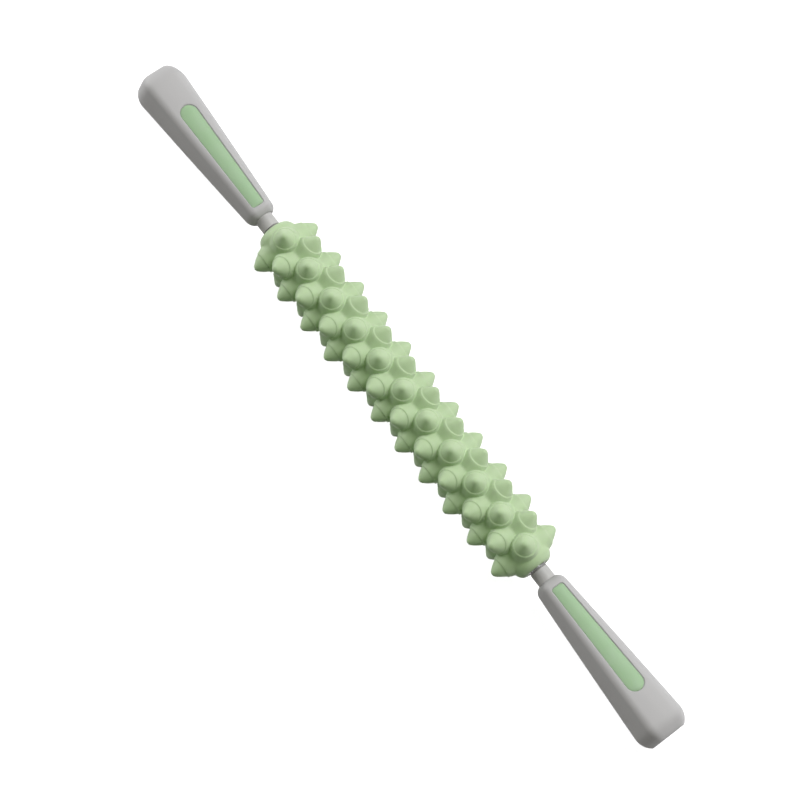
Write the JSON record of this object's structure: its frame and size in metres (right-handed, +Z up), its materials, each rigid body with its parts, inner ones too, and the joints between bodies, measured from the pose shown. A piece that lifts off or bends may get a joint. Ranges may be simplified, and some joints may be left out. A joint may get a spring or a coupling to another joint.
{
  "type": "massage roller stick",
  "caption": "Hand-held massage stick: a soft spiked roller spins freely on a rod between two tapered, six-sided grips with long inlays.",
  "frame": {"origin": "on the roller's axis, midway between the ends of the two grips", "axes": "+X along the stick towards the right grip; +Z up as it lies on a table on two rows of spikes, with the front inlays leaning 14.5 degrees from +Z towards -Y"},
  "size_m": [0.458, 0.0396, 0.0396],
  "materials": {
    "sleeve": "matt moulded soft elastomer, light green",
    "inlay": "smooth satin soft elastomer, light green",
    "grip": "fine matt moulded plastic, light warm grey",
    "neck": "satin moulded plastic, mid grey",
    "nylon": "natural smooth low-friction plastic",
    "washer": "dark filled low-friction plastic",
    "steel": "drawn bar and plated screws"
  },
  "bodies": {
    "frame": {"core_rod": "steel", "thrust_washer_left": "washer", "thrust_washer_right": "washer", "neck_sleeve_left": "neck", "neck_sleeve_right": "neck", "front_shell_left": "grip", "front_shell_right": "grip", "rear_shell_left": "grip", "rear_shell_right": "grip", "front_grip_inlay_left": "inlay", "front_grip_inlay_right": "inlay", "rear_grip_inlay_left": "inlay", "rear_grip_inlay_right": "inlay", "handle_screw_inner_left": "steel", "handle_screw_inner_right": "steel", "handle_screw_outer_left": "steel", "handle_screw_outer_right": "steel"},
    "roller": {"spiked_sleeve": "sleeve", "inner_tube": "nylon", "end_bush_left": "nylon", "end_bush_right": "nylon"}
  },
  "joints": [
    {"name": "roller_spin", "type": "hinge", "parent": "frame", "child": "roller", "pos_m": [0, 0, 0], "axis": [1, 0, 0], "continuous": true}
  ]
}
